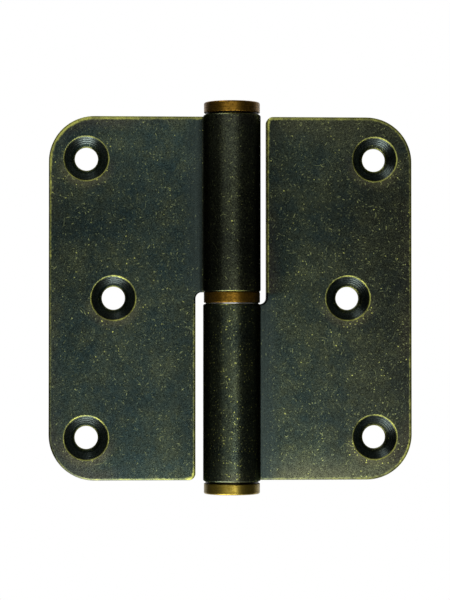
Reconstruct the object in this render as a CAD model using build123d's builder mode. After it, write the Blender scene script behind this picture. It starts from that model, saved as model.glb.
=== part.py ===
from build123d import *
import math
import os

# Lift-off hinge, opened out flat. The pin axis is +Z with its middle at the origin, and the
# countersunk faces of both leaves look towards -Y.

# Sheet, pin bore and rolled seam
sheet = 3.0
pin_diameter = 6.5
running_clearance = 0.05
seam_gap = 0.2

# Leaf outline
leaf_height = 80.0
leaf_reach = 40.0
free_edge_gap = 1.5
outer_corner = 10.0
free_corner = 1.5
notch_land = 0.1
strip_corner = 0.8
edge_round = 0.45

# Screw holes, their margins measured from the outer edge and the ends of the leaf
hole_diameter = 5.1
countersink_diameter = 9.7
countersink_angle = 90.0
rim_round = 0.45
hole_side_margin = 8.2
hole_end_margin = 9.35
middle_hole_margin = 14.15

# Pin ends, and the shoulder that carries the bearing ring
shoulder_diameter = 11.6
shoulder_height = 0.2
pin_top_clearance = 1.0
pin_foot_clearance = 2.0
lead_in = 1.2
lead_in_radius = 2.2
pin_chamfer = 0.5

# Bearing ring
ring_diameter = 12.3
ring_thickness = 2.4
ring_round = 0.25

# Caps, one in the outer end of each knuckle
cap_diameter = 12.25
cap_thickness = 2.3
cap_top_round = 0.35
cap_under_round = 0.15
neck_diameter = 11.6
neck_height = 0.4
shank_length = 5.0
shank_chamfer = 0.5

# Sizes that follow from these
pin_radius = pin_diameter / 2
bore_radius = pin_radius + running_clearance
knuckle_radius = bore_radius + sheet
free_edge = knuckle_radius + free_edge_gap
notch_corner = free_edge_gap - notch_land
leaf_top = leaf_height / 2
knuckle_end = (ring_thickness + shoulder_height) / 2
ring_bottom = shoulder_height - knuckle_end
seam_angle = math.degrees(math.asin((bore_radius - seam_gap) / knuckle_radius))
wrap = 270 + seam_angle
side_row = leaf_reach - hole_side_margin
middle_row = leaf_reach - middle_hole_margin
end_row = leaf_top - hole_end_margin
cap_top = leaf_top + neck_height + cap_thickness
pin_rise = leaf_top - shank_length - pin_top_clearance
pin_depth = leaf_top - shank_length - pin_foot_clearance

# Frame leaf: a flat blank whose lower half is rolled forward into the knuckle. The back of the
# leaf runs tangent into the roll, and the strip end comes round to the front of the leaf.
with BuildPart() as frame_leaf:
    with BuildSketch(Plane.XY.offset(-leaf_top)):
        with BuildLine():
            outer_wrap = CenterArc((0, 0), knuckle_radius, 90, wrap)
            inner_wrap = CenterArc((0, 0), bore_radius, 90, wrap)
            Line(outer_wrap @ 1, inner_wrap @ 1)
            Polyline(
                inner_wrap @ 0,
                (leaf_reach, bore_radius),
                (leaf_reach, knuckle_radius),
                outer_wrap @ 0,
            )
        make_face()
    extrude(amount=leaf_height)

    # Outline of the blank seen from the front, with the notch for the other leaf's knuckle
    with BuildSketch(Plane.XZ):
        with BuildLine():
            Polyline(
                (-leaf_reach, -leaf_top),
                (leaf_reach, -leaf_top),
                (leaf_reach, leaf_top),
                (free_edge, leaf_top),
                (free_edge, -knuckle_end),
                (-leaf_reach, -knuckle_end),
                close=True,
            )
        make_face()
        fillet(vertices().group_by(Axis.X)[-1], outer_corner)
        fillet(vertices().group_by(Axis.X)[1].sort_by(Axis.Y)[-1], free_corner)
        fillet(vertices().group_by(Axis.X)[1].sort_by(Axis.Y)[0], notch_corner)
    extrude(amount=leaf_reach, both=True, mode=Mode.INTERSECT)

    # Corners of the strip end at the seam
    seam_face = faces().sort_by_distance((knuckle_radius, seam_gap, -leaf_top / 2))
    seam_face = seam_face.filter_by(GeomType.PLANE).filter_by(Axis.Y, reverse=True)[0]
    fillet(seam_face.edges().filter_by(Axis.Z, reverse=True), strip_corner)

    # Tumbled edge all round the inner and the outer side of the sheet
    flats = faces().filter_by(Axis.Y)
    rolls = faces().filter_by(GeomType.CYLINDER).sort_by(SortBy.AREA)[-2:]
    roll_starts = edges().filter_by(Axis.Z).group_by(lambda edge: abs(edge.center().X))[0]
    fillet((flats + rolls).edges() - roll_starts, edge_round)

    # Countersunk screw holes, the middle one set nearer the knuckle
    with Locations(Plane.XZ.offset(-bore_radius)):
        with Locations((side_row, end_row), (middle_row, 0), (side_row, -end_row)):
            CounterSinkHole(
                hole_diameter / 2,
                countersink_diameter / 2,
                counter_sink_angle=countersink_angle,
            )
    rims = edges().filter_by(GeomType.CIRCLE).group_by(SortBy.RADIUS)
    rims = [group for group in rims if math.isclose(group[0].radius, countersink_diameter / 2)][0]
    fillet(rims, rim_round)
frame_leaf.part.label = "frame_leaf"

# Door leaf: the same pressing turned end for end, so its knuckle is the upper one
with BuildPart() as door_leaf:
    add(frame_leaf.part, rotation=(0, 180, 0))
door_leaf.part.label = "door_leaf"

# Pin: pressed into the lower knuckle as far as its shoulder, free in the upper one
with BuildPart() as pin:
    with BuildSketch(Plane.XZ):
        with BuildLine():
            Polyline(
                (0, -pin_depth),
                (bore_radius - pin_chamfer, -pin_depth),
                (bore_radius, pin_chamfer - pin_depth),
                (bore_radius, -knuckle_end),
                (shoulder_diameter / 2, -knuckle_end),
                (shoulder_diameter / 2, ring_bottom),
                (pin_radius, ring_bottom),
                (pin_radius, pin_rise - lead_in),
                (lead_in_radius, pin_rise),
                (0, pin_rise),
                close=True,
            )
        make_face()
    revolve(axis=Axis.Z)
pin.part.label = "pin"

# Bearing ring: a turned brass washer between the knuckles, loose on the pin
with BuildPart() as bearing_ring:
    with BuildSketch(Plane.XY.offset(ring_bottom)):
        Circle(ring_diameter / 2)
        Circle(bore_radius, mode=Mode.SUBTRACT)
    extrude(amount=ring_thickness)
    ring_rims = edges().filter_by(GeomType.CIRCLE).group_by(SortBy.RADIUS)[-1]
    fillet(ring_rims, ring_round)
bearing_ring.part.label = "bearing_ring"

# Top cap: a turned brass button with a recessed neck, its shank pressed into the knuckle
with BuildPart() as top_cap:
    with BuildSketch(Plane.XZ):
        with BuildLine():
            Polyline(
                (0, cap_top),
                (cap_diameter / 2, cap_top),
                (cap_diameter / 2, leaf_top + neck_height),
                (neck_diameter / 2, leaf_top + neck_height),
                (neck_diameter / 2, leaf_top),
                (bore_radius, leaf_top),
                (bore_radius, leaf_top - shank_length + shank_chamfer),
                (bore_radius - shank_chamfer, leaf_top - shank_length),
                (0, leaf_top - shank_length),
                close=True,
            )
        make_face()
    revolve(axis=Axis.Z)
    under_rim, top_rim = edges().filter_by(GeomType.CIRCLE).group_by(SortBy.RADIUS)[-1].sort_by(Axis.Z)
    fillet(top_rim, cap_top_round)
    fillet(under_rim, cap_under_round)
top_cap.part.label = "top_cap"

# Bottom cap: the same button turned over
with BuildPart() as bottom_cap:
    add(top_cap.part, rotation=(180, 0, 0))
bottom_cap.part.label = "bottom_cap"

os.makedirs("parts", exist_ok=True)
export_step(frame_leaf.part, "parts/frame_leaf.step")
export_step(door_leaf.part, "parts/door_leaf.step")
export_step(pin.part, "parts/pin.step")
export_step(bearing_ring.part, "parts/bearing_ring.step")
export_step(top_cap.part, "parts/top_cap.step")
export_step(bottom_cap.part, "parts/bottom_cap.step")
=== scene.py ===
import math

import bpy
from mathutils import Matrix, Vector

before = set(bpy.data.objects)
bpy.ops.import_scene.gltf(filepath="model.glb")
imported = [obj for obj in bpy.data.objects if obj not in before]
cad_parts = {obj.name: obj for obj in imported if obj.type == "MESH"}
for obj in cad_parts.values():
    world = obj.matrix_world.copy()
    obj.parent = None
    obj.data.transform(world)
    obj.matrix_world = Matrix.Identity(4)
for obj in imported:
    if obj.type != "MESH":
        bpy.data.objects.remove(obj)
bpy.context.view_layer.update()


# The two leaves. Each is one pressing of 3 mm steel sheet, rolled at one half into its knuckle and
# countersunk for three screws. It is brass plated, blackened all over and then tumbled, which rubs
# the black back to brass along the edges, round the hole rims and on the high spots of the faces.
MM_PER_METRE = 1000.0

# Sizes of the pressing in millimetres, as the CAD has them
LEAF_REACH = 40.0
LEAF_TOP = 40.0
KNUCKLE_RADIUS = 6.3
SHEET = 3.0
MID_SHEET = KNUCKLE_RADIUS - SHEET / 2
KNUCKLE_SIDE = KNUCKLE_RADIUS + 0.05
KNUCKLE_END = 1.3
FREE_EDGE = KNUCKLE_RADIUS + 1.5
OUTER_CORNER = 10.0
END_HOLE_X = LEAF_REACH - 8.2
END_HOLE_Z = LEAF_TOP - 9.35
MIDDLE_HOLE_X = LEAF_REACH - 14.15
COUNTERSINK_RADIUS = 4.85
HOLE_RADIUS = 2.55


def linear(hex_colour):
    """An sRGB hex colour as the linear colour that a socket takes."""
    parts = [int(hex_colour[i:i + 2], 16) / 255 for i in (1, 3, 5)]
    return [c / 12.92 if c <= 0.04045 else ((c + 0.055) / 1.055) ** 2.4 for c in parts] + [1.0]


def add(tree, kind, *values, out=0, named=None, **settings):
    """Adds a node with its settings, fills or links its inputs, and gives back one output."""
    made = tree.nodes.new("ShaderNode" + kind)
    for key, value in settings.items():
        setattr(made, key, value)
    for key, value in list(enumerate(values)) + list((named or {}).items()):
        if isinstance(value, bpy.types.NodeSocket):
            tree.links.new(value, made.inputs[key])
        else:
            made.inputs[key].default_value = value
    return made.outputs[out] if made.outputs else None


def new_material(name):
    """A material with an empty node tree, and that tree."""
    made = bpy.data.materials.new(name)
    made.use_nodes = True
    made.node_tree.nodes.clear()
    return made, made.node_tree


def millimetres(tree):
    """The place on a piece, in millimetres of the shared frame."""
    place = add(tree, "TexCoord", out="Object")
    return add(tree, "VectorMath", place, named={"Scale": MM_PER_METRE}, operation="SCALE")


# A ramp with soft ends
SOFT = {"interpolation_type": "SMOOTHSTEP"}

# Blackened brass plate: a thin near-black oxide over polished metal. The eye sees dark metal with a
# soft shine, gold flecks and strokes where tumbling has cut through, and a gold line on every edge.
plate, tree = new_material("blackened_brass_plate")
place = millimetres(tree)
x, y, z = add(tree, "SeparateXYZ", place).node.outputs
facing = add(tree, "SeparateXYZ", add(tree, "TexCoord", out="Normal")).node.outputs
across = add(tree, "Math", x, operation="ABSOLUTE")
along = add(tree, "Math", z, operation="ABSOLUTE")
on_leaf = add(tree, "Math", across, KNUCKLE_SIDE, operation="GREATER_THAN")
on_roll = add(tree, "Math", 1.0, on_leaf, operation="SUBTRACT")
on_frame = add(tree, "MapRange", x, KNUCKLE_SIDE, 2 * KNUCKLE_SIDE)
on_door = add(tree, "MapRange", x, -KNUCKLE_SIDE, -2 * KNUCKLE_SIDE)
front = add(tree, "Math", y, MID_SHEET, operation="LESS_THAN")
back = add(tree, "Math", y, MID_SHEET, operation="GREATER_THAN")

# Millimetres in from the edge of the blank: the outer outline, the free edge and the knuckle's end.
# Where one of these edges isn't there, it is put far off.
FAR = 10.0
past_x = add(tree, "Math", across, LEAF_REACH - OUTER_CORNER, operation="SUBTRACT")
past_z = add(tree, "Math", along, LEAF_TOP - OUTER_CORNER, operation="SUBTRACT")
past = add(tree, "VectorMath", add(tree, "CombineXYZ", past_x, past_z), (0, 0, 0), operation="MAXIMUM")
from_corner = add(tree, "VectorMath", past, out="Value", operation="LENGTH")
to_outline = add(tree, "Math", OUTER_CORNER, from_corner, operation="SUBTRACT")
towards_free = add(tree, "Math", z, add(tree, "Math", x, operation="SIGN"), operation="MULTIPLY")
not_free = add(tree, "MapRange", towards_free, -KNUCKLE_END, KNUCKLE_END, FAR, 0.0)
past_free = add(tree, "Math", across, FREE_EDGE, operation="SUBTRACT")
to_free = add(tree, "Math", past_free, not_free, operation="ADD")
to_free = add(tree, "Math", on_roll, 2 * FAR, to_free, operation="MULTIPLY_ADD")
to_end = add(tree, "Math", along, KNUCKLE_END, operation="SUBTRACT")
to_end = add(tree, "Math", on_leaf, FAR, to_end, operation="MULTIPLY_ADD")
to_edge = add(tree, "Math", to_outline, to_free, operation="MINIMUM")
to_edge = add(tree, "Math", to_edge, to_end, operation="MINIMUM")

# Millimetres from the centre of the nearest screw hole, and how far above that centre
CONE_FADE = 0.3
over_end = add(tree, "Math", z, operation="SIGN")
over_end = add(tree, "Math", over_end, -END_HOLE_Z, z, operation="MULTIPLY_ADD")
beside_end = add(tree, "Math", across, END_HOLE_X, operation="SUBTRACT")
from_end = add(tree, "CombineXYZ", beside_end, over_end)
from_end = add(tree, "VectorMath", from_end, out="Value", operation="LENGTH")
beside_middle = add(tree, "Math", across, MIDDLE_HOLE_X, operation="SUBTRACT")
from_middle = add(tree, "CombineXYZ", beside_middle, z)
from_middle = add(tree, "VectorMath", from_middle, out="Value", operation="LENGTH")
from_hole = add(tree, "Math", from_end, from_middle, operation="MINIMUM")
end_nearer = add(tree, "Math", from_end, from_middle, operation="LESS_THAN")
over_hole = add(tree, "Mix", end_nearer, named={"A": z, "B": over_end})
in_cone = add(tree, "MapRange", from_hole, COUNTERSINK_RADIUS, COUNTERSINK_RADIUS - CONE_FADE, **SOFT)
in_cone = add(tree, "Math", in_cone, front, operation="MULTIPLY")

# Patterns of the tumbled face, by how many of their marks go to a millimetre. A noise mostly stays
# between NOISE_LOW and NOISE_HIGH.
NOISE_LOW, NOISE_HIGH = 0.3, 0.7
TOOTH_PER_MM = 4.2
GRAIN_PER_MM = 2.3
SWIRL_PER_MM = 1.6
HUE_PER_MM = 0.45
GAPS_PER_MM = 0.4
PATCH_PER_MM = 0.28
DRIFT_PER_MM = 0.11
CLOUD_PER_MM = 0.05
tooth = add(tree, "TexNoise", place, named={"Scale": TOOTH_PER_MM, "Detail": 2.0, "Roughness": 0.6})
grain = add(tree, "TexNoise", place, named={"Scale": GRAIN_PER_MM, "Detail": 2.0, "Roughness": 0.6})
patch = add(tree, "TexNoise", place, named={"Scale": PATCH_PER_MM, "Detail": 2.0, "Roughness": 0.6})
drift = add(tree, "TexNoise", place, named={"Scale": DRIFT_PER_MM, "Detail": 3.0, "Roughness": 0.55})
gaps = add(tree, "TexNoise", place, named={"Scale": GAPS_PER_MM, "Detail": 2.0})
swirl = add(tree, "TexNoise", place, named={"Scale": SWIRL_PER_MM, "Detail": 1.0}, out="Color")
hue = add(
    tree, "TexNoise", place, noise_dimensions="4D",
    named={"Scale": HUE_PER_MM, "Detail": 3.0, "W": 7.0})
cloud = add(
    tree, "TexNoise", place, noise_dimensions="4D",
    named={"Scale": CLOUD_PER_MM, "Detail": 2.0, "W": 4.0})

# Places on the leaf: just under each hole, near any edge, on the strip that the sheet was drawn over
# beside its own roll, on the round of the roll, and beside the free edge
HOLE_WEAR = 2.6
UNDER_NONE, UNDER_FULL = 1.5, -4.5
WEAR_FULL, WEAR_NONE = 0.3, 4.0
STRIP_NEAR, STRIP_FAR, STRIP_WAVER = 8.5, 13.5, 4.0
ROUND_FULL, ROUND_NONE = 4.5, 6.1
FREE_STRIP = 8.0
near_hole = add(tree, "MapRange", from_hole, COUNTERSINK_RADIUS + HOLE_WEAR, COUNTERSINK_RADIUS, **SOFT)
under_hole = add(tree, "MapRange", over_hole, UNDER_NONE, UNDER_FULL, **SOFT)
for limit in (near_hole, front):
    under_hole = add(tree, "Math", under_hole, limit, operation="MULTIPLY")
near_edge = add(tree, "MapRange", to_edge, WEAR_NONE, WEAR_FULL, **SOFT)
own_half = add(tree, "MapRange", towards_free, KNUCKLE_END, -KNUCKLE_END)
by_roll = add(tree, "Math", drift, STRIP_WAVER, across, operation="MULTIPLY_ADD")
by_roll = add(tree, "MapRange", by_roll, STRIP_FAR, STRIP_NEAR, **SOFT)
for limit in (own_half, on_leaf, front):
    by_roll = add(tree, "Math", by_roll, limit, operation="MULTIPLY")
rolled = add(tree, "MapRange", y, ROUND_NONE, ROUND_FULL)
rolled = add(tree, "Math", on_roll, rolled, operation="MULTIPLY")
by_free = add(tree, "MapRange", to_free, FREE_STRIP, 0.0, **SOFT)

# How far the black is rubbed: unevenly all over, most on the lower roll and under the holes, less in
# the strips beside the rolls and the free edges and at the foot of the door leaf, never in the cones
roll_rub = add(tree, "MapRange", z, KNUCKLE_END, -KNUCKLE_END, 0.05, 0.22)
foot_rub = add(tree, "MapRange", z, -12.0, -32.0, 0.0, -0.12)
rub = add(tree, "MapRange", patch, NOISE_LOW, NOISE_HIGH, -0.16, 0.1)
drift_rub = add(tree, "MapRange", drift, NOISE_LOW, NOISE_HIGH, -0.05, 0.05)
rub = add(tree, "Math", drift_rub, rub, operation="ADD")
for where, amount in (
    (under_hole, 0.28),
    (near_edge, 0.04),
    (rolled, roll_rub),
    (by_roll, -0.18),
    (on_door, foot_rub),
    (by_free, -0.1),
    (in_cone, -1.0),
):
    rub = add(tree, "Math", where, amount, rub, operation="MULTIPLY_ADD")

# The face laid flat in millimetres: over the leaf, front and back apart, or round the roll
round_roll = add(tree, "Math", x, add(tree, "Math", y, -1.0, operation="MULTIPLY"), operation="ARCTAN2")
round_roll = add(tree, "Math", round_roll, KNUCKLE_SIDE, operation="MULTIPLY")
over_leaf = add(tree, "Math", front, 4 * LEAF_REACH, x, operation="MULTIPLY_ADD")
laid = add(tree, "CombineXYZ", add(tree, "Mix", on_leaf, named={"A": round_roll, "B": over_leaf}), z)
ragged_laid = add(tree, "VectorMath", swirl, (0.5, 0.5, 0.0), laid, operation="MULTIPLY_ADD")

# Flecks 0.1 to 0.3 mm across, nearly three to each square millimetre, most of them faint. Their
# reach and their soft border are parts of a cell.
FLECK_CELL = 0.6
FLECK_LEAST, FLECK_MOST, FLECK_BORDER = 0.05, 0.24, 0.08
FLECK_FROM, FLECK_FULL = 0.55, 1.06
FLECK_FADING = 4.0
cell = add(
    tree, "TexVoronoi", ragged_laid, voronoi_dimensions="2D",
    named={"Scale": 1 / FLECK_CELL}).node.outputs
chance = add(tree, "SeparateXYZ", cell["Color"]).node.outputs
fleck_reach = add(tree, "MapRange", chance[0], 0.0, 1.0, FLECK_LEAST, FLECK_MOST)
flecks = add(tree, "Math", fleck_reach, cell["Distance"], operation="SUBTRACT")
flecks = add(tree, "MapRange", flecks, -FLECK_BORDER, FLECK_BORDER, **SOFT)
fleck_worn = add(tree, "Math", chance[1], rub, operation="ADD")
fleck_worn = add(tree, "MapRange", fleck_worn, FLECK_FROM, FLECK_FULL)
fleck_worn = add(tree, "Math", fleck_worn, FLECK_FADING, operation="POWER")
bare = add(tree, "Math", flecks, fleck_worn, operation="MULTIPLY")

# Strokes left by the tumbling stones, each in its own cell and at its own angle: many short ones,
# and a few faint long ones. Real ones are finer, and are drawn 0.2 mm wide so that they show.
# A row gives the cell, half the length and half the width in millimetres, how bold the strokes are,
# and the wear from which they show.
STROKES = (
    (0.75, 0.32, 0.1, 0.2, 0.35),
    (1.1, 0.4, 0.12, 0.4, 0.6),
    (2.3, 0.7, 0.11, 0.4, 0.6),
    (6.0, 1.8, 0.1, 0.25, 0.6),
)
STROKE_BEND = 0.15
for cell_width, half_length, half_width, boldness, least_wear in STROKES:
    cell = add(
        tree, "TexVoronoi", laid, voronoi_dimensions="2D",
        named={"Scale": 1 / cell_width}).node.outputs
    chance = add(tree, "SeparateXYZ", cell["Color"]).node.outputs
    off = add(tree, "VectorMath", laid, cell["Position"], operation="SUBTRACT")
    turn = add(tree, "Math", chance[0], math.pi, operation="MULTIPLY")
    off = add(tree, "VectorRotate", off, named={"Angle": turn}, rotation_type="Z_AXIS")
    lengthwise, sidewise = add(tree, "SeparateXYZ", off).node.outputs[:2]
    bend = add(tree, "Math", lengthwise, lengthwise, operation="MULTIPLY")
    sidewise = add(tree, "Math", bend, STROKE_BEND, sidewise, operation="MULTIPLY_ADD")
    sidewise = add(tree, "Math", sidewise, operation="ABSOLUTE")
    sidewise = add(tree, "MapRange", sidewise, half_width, 0.3 * half_width, **SOFT)
    lengthwise = add(tree, "Math", lengthwise, operation="ABSOLUTE")
    length = add(tree, "MapRange", chance[1], 0.0, 1.0, 0.3 * half_length, half_length)
    lengthwise = add(tree, "Math", length, lengthwise, operation="SUBTRACT")
    lengthwise = add(tree, "MapRange", lengthwise, 0.0, 0.5 * half_length, **SOFT)
    worn = add(tree, "Math", chance[2], rub, operation="ADD")
    worn = add(tree, "MapRange", worn, least_wear, 1.0, 0.0, boldness)
    stroke = add(tree, "Math", lengthwise, sidewise, operation="MULTIPLY")
    stroke = add(tree, "Math", stroke, worn, operation="MULTIPLY")
    bare = add(tree, "Math", bare, stroke, operation="MAXIMUM")

# A thin gold haze over the grain where the black is nearly through
HAZE_FROM, HAZE_FULL, HAZE_MOST = 0.45, 0.75, 0.05
haze = add(tree, "Math", tooth, rub, operation="ADD")
haze = add(tree, "MapRange", haze, HAZE_FROM, HAZE_FULL, 0.0, HAZE_MOST, **SOFT)
bare = add(tree, "Math", bare, haze, operation="MAXIMUM")

# Bare brass along the edges, from full to none over half a millimetre, its border broken by the
# grain. It is wider and stronger at the top left and bottom right corners, along the top and at the
# door leaf's free corner, stronger beside the free edges, and faint towards the foot of the leaves.
EDGE_FULL, EDGE_NONE, EDGE_RAGGED = 0.12, 0.68, 0.7
HEAVY_FROM, HEAVY_FULL = 45.0, 78.0
TOP_FROM, TOP_FULL = 28.0, 38.0
SIDE_FROM, SIDE_FULL = 36.0, 39.0
CORNER_FULL, CORNER_NONE = 1.0, 3.2
DOOR_CORNER, FRAME_CORNER = 0.9, 0.2
FOOT_STRENGTH, TOP_STRENGTH = 0.38, 0.78
ragged = add(tree, "Math", grain, 0.5, operation="SUBTRACT")
gaps = add(tree, "MapRange", gaps, 0.35, 0.65, 0.35, 0.9)
heavy = add(tree, "Math", add(tree, "Math", z, x, operation="SUBTRACT"), operation="ABSOLUTE")
heavy = add(tree, "MapRange", heavy, HEAVY_FROM, HEAVY_FULL)
by_top = add(tree, "MapRange", z, TOP_FROM, TOP_FULL)
past_end = add(tree, "Math", along, LEAF_TOP, operation="SUBTRACT")
free_corner = add(tree, "CombineXYZ", past_free, past_end)
free_corner = add(tree, "VectorMath", free_corner, out="Value", operation="LENGTH")
free_corner = add(tree, "MapRange", free_corner, CORNER_NONE, CORNER_FULL, **SOFT)
door_more = add(tree, "MapRange", x, -1.0, 1.0, DOOR_CORNER, FRAME_CORNER)
for limit in (by_free, door_more):
    free_corner = add(tree, "Math", free_corner, limit, operation="MULTIPLY")
edge_line = add(tree, "Math", ragged, -EDGE_RAGGED, to_edge, operation="MULTIPLY_ADD")
for where, wider in ((heavy, 0.16), (by_top, 0.2), (free_corner, 0.45)):
    edge_line = add(tree, "Math", where, -wider, edge_line, operation="MULTIPLY_ADD")
edge_line = add(tree, "MapRange", edge_line, EDGE_NONE, EDGE_FULL, **SOFT)
at_side = add(tree, "MapRange", across, SIDE_FROM, SIDE_FULL)
at_side = add(tree, "Math", at_side, by_top, operation="MAXIMUM")
at_side = add(tree, "Math", at_side, 1.1, operation="MULTIPLY")
strength = add(tree, "MapRange", z, -38.0, 0.0, FOOT_STRENGTH, TOP_STRENGTH)
for where, stronger in ((at_side, heavy), (by_free, 0.3), (free_corner, 0.5)):
    strength = add(tree, "Math", where, stronger, strength, operation="MULTIPLY_ADD")

# The cut wall of the sheet and the flat ends of the knuckles stay black: the brass shows on their
# rounded edges. On the knuckles' ends it is kept mostly to the front, a painted highlight.
FRONT_FROM, FRONT_FULL = -4.8, -6.2
round_side = add(tree, "Math", facing[1], operation="ABSOLUTE")
round_side = add(tree, "MapRange", round_side, 0.02, 0.25, **SOFT)
end_on = add(tree, "Math", facing[2], operation="ABSOLUTE")
worn_end_and_highlight = add(tree, "MapRange", end_on, 0.99, 0.9, **SOFT)
brow = add(tree, "MapRange", end_on, 0.3, 0.7, **SOFT)
# Painted highlight: the gold on the knuckles' rounded ends fades out towards their sides.
painted_front_highlight = add(tree, "MapRange", y, FRONT_FROM, FRONT_FULL, 0.1, 0.8)
for limit in (brow, painted_front_highlight):
    worn_end_and_highlight = add(tree, "Math", worn_end_and_highlight, limit, operation="MULTIPLY")
rounded = add(tree, "Mix", on_leaf, named={"A": worn_end_and_highlight, "B": round_side})
for limit in (strength, rounded, gaps):
    edge_line = add(tree, "Math", edge_line, limit, operation="MULTIPLY")

# Bare brass round the holes: on the rim of each countersink, most on its lower half, and round the
# small end of each hole at the back
RIM_OUT = 0.05
RIM_FULL, RIM_NONE, RIM_RAGGED = 0.03, 0.23, 0.25
BACK_FULL, BACK_NONE = 0.1, 0.3
RIM_TOP, RIM_FOOT, RIM_BACK = 0.75, 1.0, 0.8
off_rim = add(tree, "Math", from_hole, COUNTERSINK_RADIUS + RIM_OUT, operation="SUBTRACT")
off_rim = add(tree, "Math", off_rim, operation="ABSOLUTE")
off_rim = add(tree, "Math", ragged, -RIM_RAGGED, off_rim, operation="MULTIPLY_ADD")
rim_most = add(
    tree, "MapRange", over_hole, COUNTERSINK_RADIUS, -COUNTERSINK_RADIUS, RIM_TOP, RIM_FOOT)
rim_line = add(tree, "MapRange", off_rim, RIM_NONE, RIM_FULL, 0.0, rim_most, **SOFT)
for limit in (front, gaps):
    rim_line = add(tree, "Math", rim_line, limit, operation="MULTIPLY")
off_hole = add(tree, "Math", from_hole, HOLE_RADIUS, operation="SUBTRACT")
off_hole = add(tree, "Math", ragged, -RIM_RAGGED, off_hole, operation="MULTIPLY_ADD")
back_rim = add(tree, "MapRange", off_hole, BACK_NONE, BACK_FULL, 0.0, RIM_BACK, **SOFT)
for limit in (back, round_side, gaps):
    back_rim = add(tree, "Math", back_rim, limit, operation="MULTIPLY")
rim_line = add(tree, "Math", rim_line, back_rim, operation="MAXIMUM")
on_edge = add(tree, "Math", edge_line, rim_line, operation="MAXIMUM")
bare = add(tree, "Math", on_edge, bare, operation="MAXIMUM")

# The black: slate with a green or a blue cast, warmer on the roll, brown by some edges and under the
# holes, olive at the ends of the frame leaf, cooler beside the roll, and grey in the cones
OUTER_FROM, OUTER_FULL = 16.0, 38.0
ENDS_FROM, ENDS_FULL = 33.0, 39.0
hue = add(tree, "Math", drift, hue, operation="ADD")
hue = add(tree, "Math", hue, 0.5, operation="MULTIPLY")
hue = add(tree, "Math", on_frame, 0.06, hue, operation="MULTIPLY_ADD")
warm_roll = add(tree, "MapRange", z, -KNUCKLE_END, KNUCKLE_END, 0.3, 0.8)
warm_roll = add(tree, "Math", rolled, warm_roll, operation="MULTIPLY")
browned = add(tree, "MapRange", cloud, 0.45, 0.65, 0.0, 0.6)
browned = add(tree, "Math", near_edge, browned, operation="MULTIPLY")
browned = add(tree, "Math", under_hole, 0.7, browned, operation="MULTIPLY_ADD")
outer_brown = add(tree, "MapRange", x, OUTER_FROM, OUTER_FULL, 0.0, 0.2)
browned = add(tree, "Math", outer_brown, browned, operation="ADD")
olive_ends = add(tree, "MapRange", along, ENDS_FROM, ENDS_FULL, 0.0, 0.7)
olive_ends = add(tree, "Math", on_frame, olive_ends, operation="MULTIPLY")
greener = add(tree, "MapRange", hue, 0.38, 0.64)
oxide = add(tree, "MixRGB", greener, linear("#1f2a29"), linear("#272d24"))
for where, tint in (
    (warm_roll, "#272920"),
    (browned, "#34312a"),
    (olive_ends, "#3a3c2d"),
    (by_roll, "#28302d"),
    (in_cone, "#3a413e"),
):
    oxide = add(tree, "MixRGB", where, oxide, linear(tint))

# How dark the black is: mottled by the grain and darker beside the free edges. Painted light and
# shade on top of that: lighter along the top and the foot, darker towards the outer edges, and on the
# frame leaf darkest at the upper outer corner and lightest towards its lower left.
# Beside the roll the drawn sheet shows lines 0.4 mm apart that run along the knuckle.
DRAWN_PER_MM = (2.5, 2.5, 0.06)
DOOR_FREE, FRAME_FREE = 0.8, 0.54
mottle_and_painted_light = add(tree, "Math", grain, 0.7, operation="MULTIPLY")
mottle_and_painted_light = add(tree, "Math", tooth, 1.3, mottle_and_painted_light, operation="MULTIPLY_ADD")
mottle_and_painted_light = add(tree, "MapRange", mottle_and_painted_light, 0.75, 1.25, 0.45, 1.55)
drifting = add(tree, "MapRange", drift, NOISE_LOW, NOISE_HIGH, 0.85, 1.15)
# Painted shade: the black goes darker towards the outer edges, on the door leaf only in its upper part.
painted_outer_shade = add(tree, "MapRange", z, -12.0, 4.0, 1.0, 0.8)
painted_outer_shade = add(tree, "Mix", on_frame, named={"A": painted_outer_shade, "B": 0.75})
painted_outer_shade = add(tree, "MapRange", across, 18.0, 36.0, 1.0, painted_outer_shade, **SOFT)
# Painted light: the black is lighter along the top and the foot of the leaves.
painted_top_light = add(tree, "MapRange", z, 18.0, 36.0, 1.0, 1.55, **SOFT)
painted_foot_light = add(tree, "MapRange", z, -32.0, -39.0, 1.0, 1.35, **SOFT)
# Painted light and shade on the frame leaf: darkest at its upper outer corner, lighter towards its
# lower left, a touch darker at its ends.
painted_slant_light = add(tree, "Math", x, 1.3, z, operation="MULTIPLY_ADD")
painted_slant_light = add(tree, "MapRange", painted_slant_light, 60.0, -10.0, 0.68, 1.1)
at_ends = add(tree, "MapRange", along, 34.0, 39.0, 1.0, 0.98)
painted_slant_light = add(tree, "Math", painted_slant_light, at_ends, operation="MULTIPLY")
painted_slant_light = add(tree, "Mix", on_frame, named={"A": 1.0, "B": painted_slant_light})
beside_free = add(tree, "MapRange", x, -1.0, 1.0, DOOR_FREE, FRAME_FREE)
beside_free = add(tree, "MapRange", by_free, 0.0, 1.0, 1.0, beside_free)
for factor in (drifting, painted_outer_shade, painted_top_light, painted_foot_light, painted_slant_light, beside_free):
    mottle_and_painted_light = add(tree, "Math", mottle_and_painted_light, factor, operation="MULTIPLY")
drawn = add(tree, "VectorMath", place, DRAWN_PER_MM, operation="MULTIPLY")
drawn = add(tree, "TexNoise", drawn, named={"Scale": 1.0})
drawn = add(tree, "MapRange", drawn, NOISE_LOW, NOISE_HIGH, 0.75, 1.25)
mostly_drawn = add(tree, "Math", by_roll, 0.6, operation="MULTIPLY")
mottle_and_painted_light = add(tree, "Mix", mostly_drawn, named={"A": mottle_and_painted_light, "B": drawn})
oxide = add(tree, "MixRGB", 1.0, oxide, mottle_and_painted_light, blend_type="MULTIPLY")

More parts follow.
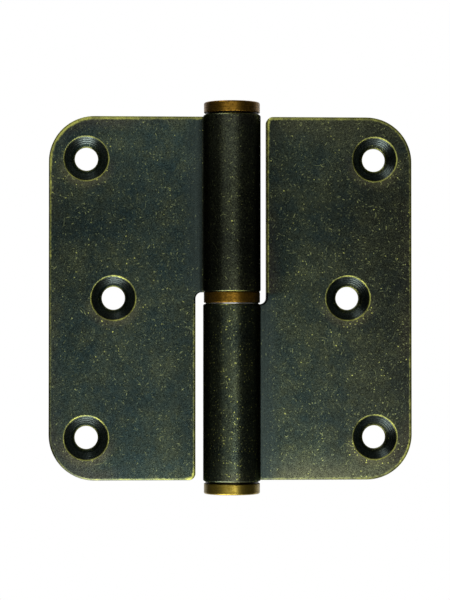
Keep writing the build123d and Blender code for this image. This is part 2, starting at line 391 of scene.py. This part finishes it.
# The brass: pale where the black is only thinned, and yellow where it is gone and on the edges
gold = add(tree, "MixRGB", tooth, linear("#868a3e"), linear("#bcbe66"))
pale = add(tree, "MixRGB", hue, linear("#869468"), linear("#b2b878"))
edge_gold = add(tree, "MapRange", on_edge, 0.0, 0.35)
yellow = add(tree, "MapRange", bare, 0.25, 0.6)
yellow = add(tree, "Math", yellow, edge_gold, operation="MAXIMUM")
gold = add(tree, "MixRGB", yellow, pale, gold)
colour = add(tree, "MixRGB", bare, oxide, gold)
roughness = add(tree, "MapRange", tooth, NOISE_LOW, NOISE_HIGH, 0.33, 0.42)
roughness = add(tree, "Math", rolled, -0.06, roughness, operation="MULTIPLY_ADD")
roughness = add(tree, "Mix", edge_line, named={"A": roughness, "B": 0.48})
roughness = add(tree, "Mix", in_cone, named={"A": roughness, "B": 0.3})

# Relief: the tooth of the face, and in the cones the turning lines of the countersink cutter. Real
# turning lines are finer, and are drawn 0.4 mm apart so that they show.
TURNING_PITCH = 0.4
RELIEF_DEPTH = 0.05
turning = add(tree, "Math", from_hole, 2 * math.pi / TURNING_PITCH, operation="MULTIPLY")
turning = add(tree, "Math", turning, operation="SINE")
turning = add(tree, "Math", turning, in_cone, operation="MULTIPLY")
smooth = add(tree, "Math", in_cone, edge_line, operation="MAXIMUM")
smooth = add(tree, "Math", 1.0, smooth, operation="SUBTRACT")
height = add(tree, "Math", tooth, smooth, operation="MULTIPLY")
height = add(tree, "Math", turning, 0.3, height, operation="MULTIPLY_ADD")
relief = add(tree, "Bump", named={
    "Strength": 0.5, "Distance": RELIEF_DEPTH / MM_PER_METRE, "Height": height})

# The grey edge tint keeps the oxide dark where it is seen at a slant
shaded = add(tree, "BsdfPrincipled", named={
    "Base Color": colour, "Metallic": 1.0, "Roughness": roughness, "Normal": relief,
    "Specular Tint": linear("#9c9c9c")})
add(tree, "OutputMaterial", shaded)
for leaf in ("frame_leaf", "door_leaf"):
    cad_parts[leaf].material_slots[0].material = plate


# The pin. A ground steel rod with a low shoulder that carries the bearing ring. It is pressed into
# the lower knuckle, and the upper knuckle turns on it and lifts off it.
GRINDING_PER_MM = (0.4, 0.4, 6.0)
GRINDING_DEPTH = 0.03
OIL_PER_MM = 0.3

# Ground steel: bright and fairly sharp, with fine grinding lines that run round the rod. Real lines
# are finer, and are drawn a sixth of a millimetre wide so that they show.
steel, tree = new_material("ground_steel")
place = millimetres(tree)
lines = add(tree, "VectorMath", place, GRINDING_PER_MM, operation="MULTIPLY")
grinding = add(tree, "TexNoise", lines, named={"Scale": 1.0, "Detail": 3.0})
oil = add(tree, "TexNoise", place, named={"Scale": OIL_PER_MM, "Detail": 2.0})
colour = add(tree, "MixRGB", oil, linear("#c4c3be"), linear("#dddddb"))
roughness = add(tree, "MapRange", grinding, NOISE_LOW, NOISE_HIGH, 0.18, 0.32)
relief = add(tree, "Bump", named={
    "Strength": 0.2, "Distance": GRINDING_DEPTH / MM_PER_METRE, "Height": grinding})
shaded = add(tree, "BsdfPrincipled", named={
    "Base Color": colour, "Metallic": 1.0, "Roughness": roughness, "Normal": relief})
add(tree, "OutputMaterial", shaded)
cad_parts["pin"].material_slots[0].material = steel


# The bearing ring and the two caps. Turned from brass bar: the ring is loose on the pin between the
# knuckles, and each cap is a button whose shank is pressed into the outer end of a knuckle.
GROOVE_TOP = LEAF_TOP + 0.38
SHANK_END = LEAF_TOP - 5.0
TOOL_LINES_PER_MM = 3.2
TOOL_DEPTH = 0.05
BLOTCHES_PER_MM = 0.75
SPECKS_PER_MM = 2.6

# Darkened turned brass: amber metal, brown in blotches, with fine tool lines round the axis. It is
# painted lighter and yellower towards the foot, as light from below, and near black in the groove
# under each cap, as shade. Tool lines are drawn 0.3 mm wide so that they show.
brass, tree = new_material("darkened_turned_brass")
place = millimetres(tree)
x, y, z = add(tree, "SeparateXYZ", place).node.outputs
facing = add(tree, "SeparateXYZ", add(tree, "TexCoord", out="Normal")).node.outputs
radius = add(tree, "VectorMath", add(tree, "CombineXYZ", x, y), out="Value", operation="LENGTH")
end_on = add(tree, "Math", facing[2], operation="ABSOLUTE")
end_face = add(tree, "Math", end_on, 0.9, operation="GREATER_THAN")
tool_path = add(tree, "Mix", end_face, named={"A": z, "B": radius})
tool_line = add(
    tree, "TexNoise", noise_dimensions="1D",
    named={"W": tool_path, "Scale": TOOL_LINES_PER_MM, "Detail": 2.0})
blotch = add(tree, "TexNoise", place, named={"Scale": BLOTCHES_PER_MM, "Detail": 4.0, "Roughness": 0.7})
specks = add(tree, "TexNoise", place, named={"Scale": SPECKS_PER_MM, "Detail": 2.0})
clear = add(tree, "Math", blotch, specks, operation="ADD")
clear = add(tree, "Math", tool_line, 0.5, clear, operation="MULTIPLY_ADD")
clear = add(tree, "MapRange", clear, 1.02, 1.5, **SOFT)
# Painted light from below: the brass is lighter and yellower towards the foot.
painted_light_below = add(tree, "MapRange", z, 0.0, -LEAF_TOP)
dull = add(tree, "MixRGB", painted_light_below, linear("#523c11"), linear("#6a5a20"))
clean = add(tree, "MixRGB", painted_light_below, linear("#805f20"), linear("#837332"))
colour = add(tree, "MixRGB", clear, dull, clean)
along = add(tree, "Math", z, operation="ABSOLUTE")
# Painted shade: near black in the groove under each cap, down over the shank inside the knuckle.
painted_groove_shade = add(tree, "Math", along, GROOVE_TOP, operation="LESS_THAN")
past_shank = add(tree, "Math", along, SHANK_END, operation="GREATER_THAN")
painted_groove_shade = add(tree, "Math", painted_groove_shade, past_shank, operation="MULTIPLY")
colour = add(tree, "MixRGB", painted_groove_shade, colour, linear("#14120c"))
roughness = add(tree, "MapRange", clear, 0.0, 1.0, 0.42, 0.3)
relief = add(tree, "Bump", named={
    "Strength": 0.25, "Distance": TOOL_DEPTH / MM_PER_METRE, "Height": tool_line})
shaded = add(tree, "BsdfPrincipled", named={
    "Base Color": colour, "Metallic": 1.0, "Roughness": roughness, "Normal": relief})
add(tree, "OutputMaterial", shaded)
for turned in ("bearing_ring", "top_cap", "bottom_cap"):
    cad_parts[turned].material_slots[0].material = brass


# The studio, in metres: a white floor and a white room, dark cards at both sides and above that only
# reflections see, so that the roll of the knuckle goes dark at its sides, and three soft lamps.
FLOOR_Z = -0.5
FLOOR_HALF = 3.0
CARD_AWAY = 0.3
CARD_HALF = 0.45
PAPER_GLOW = 0.8
ROOM_LIGHT = 0.6
scene = bpy.context.scene
scene.view_settings.view_transform = "Standard"


def sheet_of(name, middle, half_width, half_height):
    """A flat sheet for the studio, from its middle and the two ways from there to its sides."""
    middle, wide, high = Vector(middle), Vector(half_width), Vector(half_height)
    corners = [middle - wide - high, middle + wide - high, middle + wide + high, middle - wide + high]
    mesh = bpy.data.meshes.new(name)
    mesh.from_pydata(corners, [], [(0, 1, 2, 3)])
    made = bpy.data.objects.new(name, mesh)
    scene.collection.objects.link(made)
    return made


def seen_rays(tree):
    """1 for what the camera sees, straight on, in metal or through glass, and 0 for other light."""
    path = add(tree, "LightPath").node.outputs
    seen = add(tree, "Math", path["Is Camera Ray"], path["Is Glossy Ray"], operation="MAXIMUM")
    return add(tree, "Math", seen, path["Is Transmission Ray"], operation="MAXIMUM")


# White paper: matt, and as white as the room behind it where it is seen
floor = sheet_of("floor", (0.0, 0.0, FLOOR_Z), (FLOOR_HALF, 0.0, 0.0), (0.0, FLOOR_HALF, 0.0))
paper, tree = new_material("white_paper")
lit = add(tree, "BsdfDiffuse", linear("#f4f4f2"))
glow = add(tree, "Emission", linear("#ffffff"), PAPER_GLOW)
both = add(tree, "AddShader", lit, glow)
add(tree, "OutputMaterial", add(tree, "MixShader", seen_rays(tree), lit, both))
floor.data.materials.append(paper)

# Dark card: an even dark grey. The right-hand one reaches further forward than the left-hand one.
card, tree = new_material("dark_card")
add(tree, "OutputMaterial", add(tree, "Emission", linear("#505050"), 1.0))
for name, middle, half_width, half_height in (
    ("card_left", (-CARD_AWAY, -0.03, 0.0), (0.0, 0.33, 0.0), (0.0, 0.0, CARD_HALF)),
    ("card_right", (CARD_AWAY, -0.44, 0.0), (0.0, 0.56, 0.0), (0.0, 0.0, CARD_HALF)),
    ("card_above", (0.0, -0.125, CARD_AWAY), (CARD_AWAY, 0.0, 0.0), (0.0, 0.175, 0.0)),
):
    shade = sheet_of(name, middle, half_width, half_height)
    shade.data.materials.append(card)
    shade.visible_camera = False
    shade.visible_diffuse = False
    shade.visible_transmission = False
    shade.visible_shadow = False

# The room lights the hinge evenly, and is plain white where it is seen
world = bpy.data.worlds.new("white_room")
scene.world = world
world.use_nodes = True
tree = world.node_tree
tree.nodes.clear()
room = add(tree, "Background", linear("#ffffff"), ROOM_LIGHT)
white = add(tree, "Background", linear("#ffffff"), 1.0)
add(tree, "OutputWorld", add(tree, "MixShader", seen_rays(tree), room, white))


def lamp(name, place, size, watts, aim=(0.0, 0.0, 0.0), spread=180.0):
    """A soft square lamp that faces the hinge or another aim, its beam as wide as its spread."""
    light = bpy.data.lights.new(name, "AREA")
    light.size = size
    light.energy = watts
    light.spread = math.radians(spread)
    made = bpy.data.objects.new(name, light)
    made.location = place
    towards = Vector(aim) - made.location
    made.rotation_euler = towards.to_track_quat("-Z", "Y").to_euler()
    made.visible_camera = False
    scene.collection.objects.link(made)


# One lamp stands low in front, and two near ones, below and above, put the sheen in the cones
lamp("low_lamp", place=(0.08, -0.5, -0.17), size=0.1, watts=0.75)
lamp("near_low_lamp", place=(-0.035, -0.045, -0.12), size=0.1, watts=0.25)
lamp(
    "near_high_lamp", place=(-0.035, -0.045, 0.13), size=0.07, watts=0.022,
    aim=(0.09, 0.0, 0.0), spread=80.0)

# The camera stands half a metre away, a little below the middle of the hinge and to its left
CAMERA_AWAY = 0.5
CAMERA_AZIMUTH = math.radians(-3.25)
CAMERA_LOW = 0.008
LENS_MM = 137.3
SENSOR_MM = 36.0
SHIFT_X, SHIFT_Y = -0.0115, -0.0035
photo_camera = bpy.data.cameras.new("photo_camera")
photo_camera.lens = LENS_MM
photo_camera.sensor_width = SENSOR_MM
photo_camera.shift_x = SHIFT_X
photo_camera.shift_y = SHIFT_Y
camera = bpy.data.objects.new("photo_camera", photo_camera)
camera_x = CAMERA_AWAY * math.sin(CAMERA_AZIMUTH)
camera_y = -CAMERA_AWAY * math.cos(CAMERA_AZIMUTH)
camera.location = (camera_x, camera_y, -CAMERA_LOW)
camera.rotation_euler = (math.pi / 2 + math.atan(CAMERA_LOW / CAMERA_AWAY), 0.0, CAMERA_AZIMUTH)
scene.collection.objects.link(camera)
scene.camera = camera
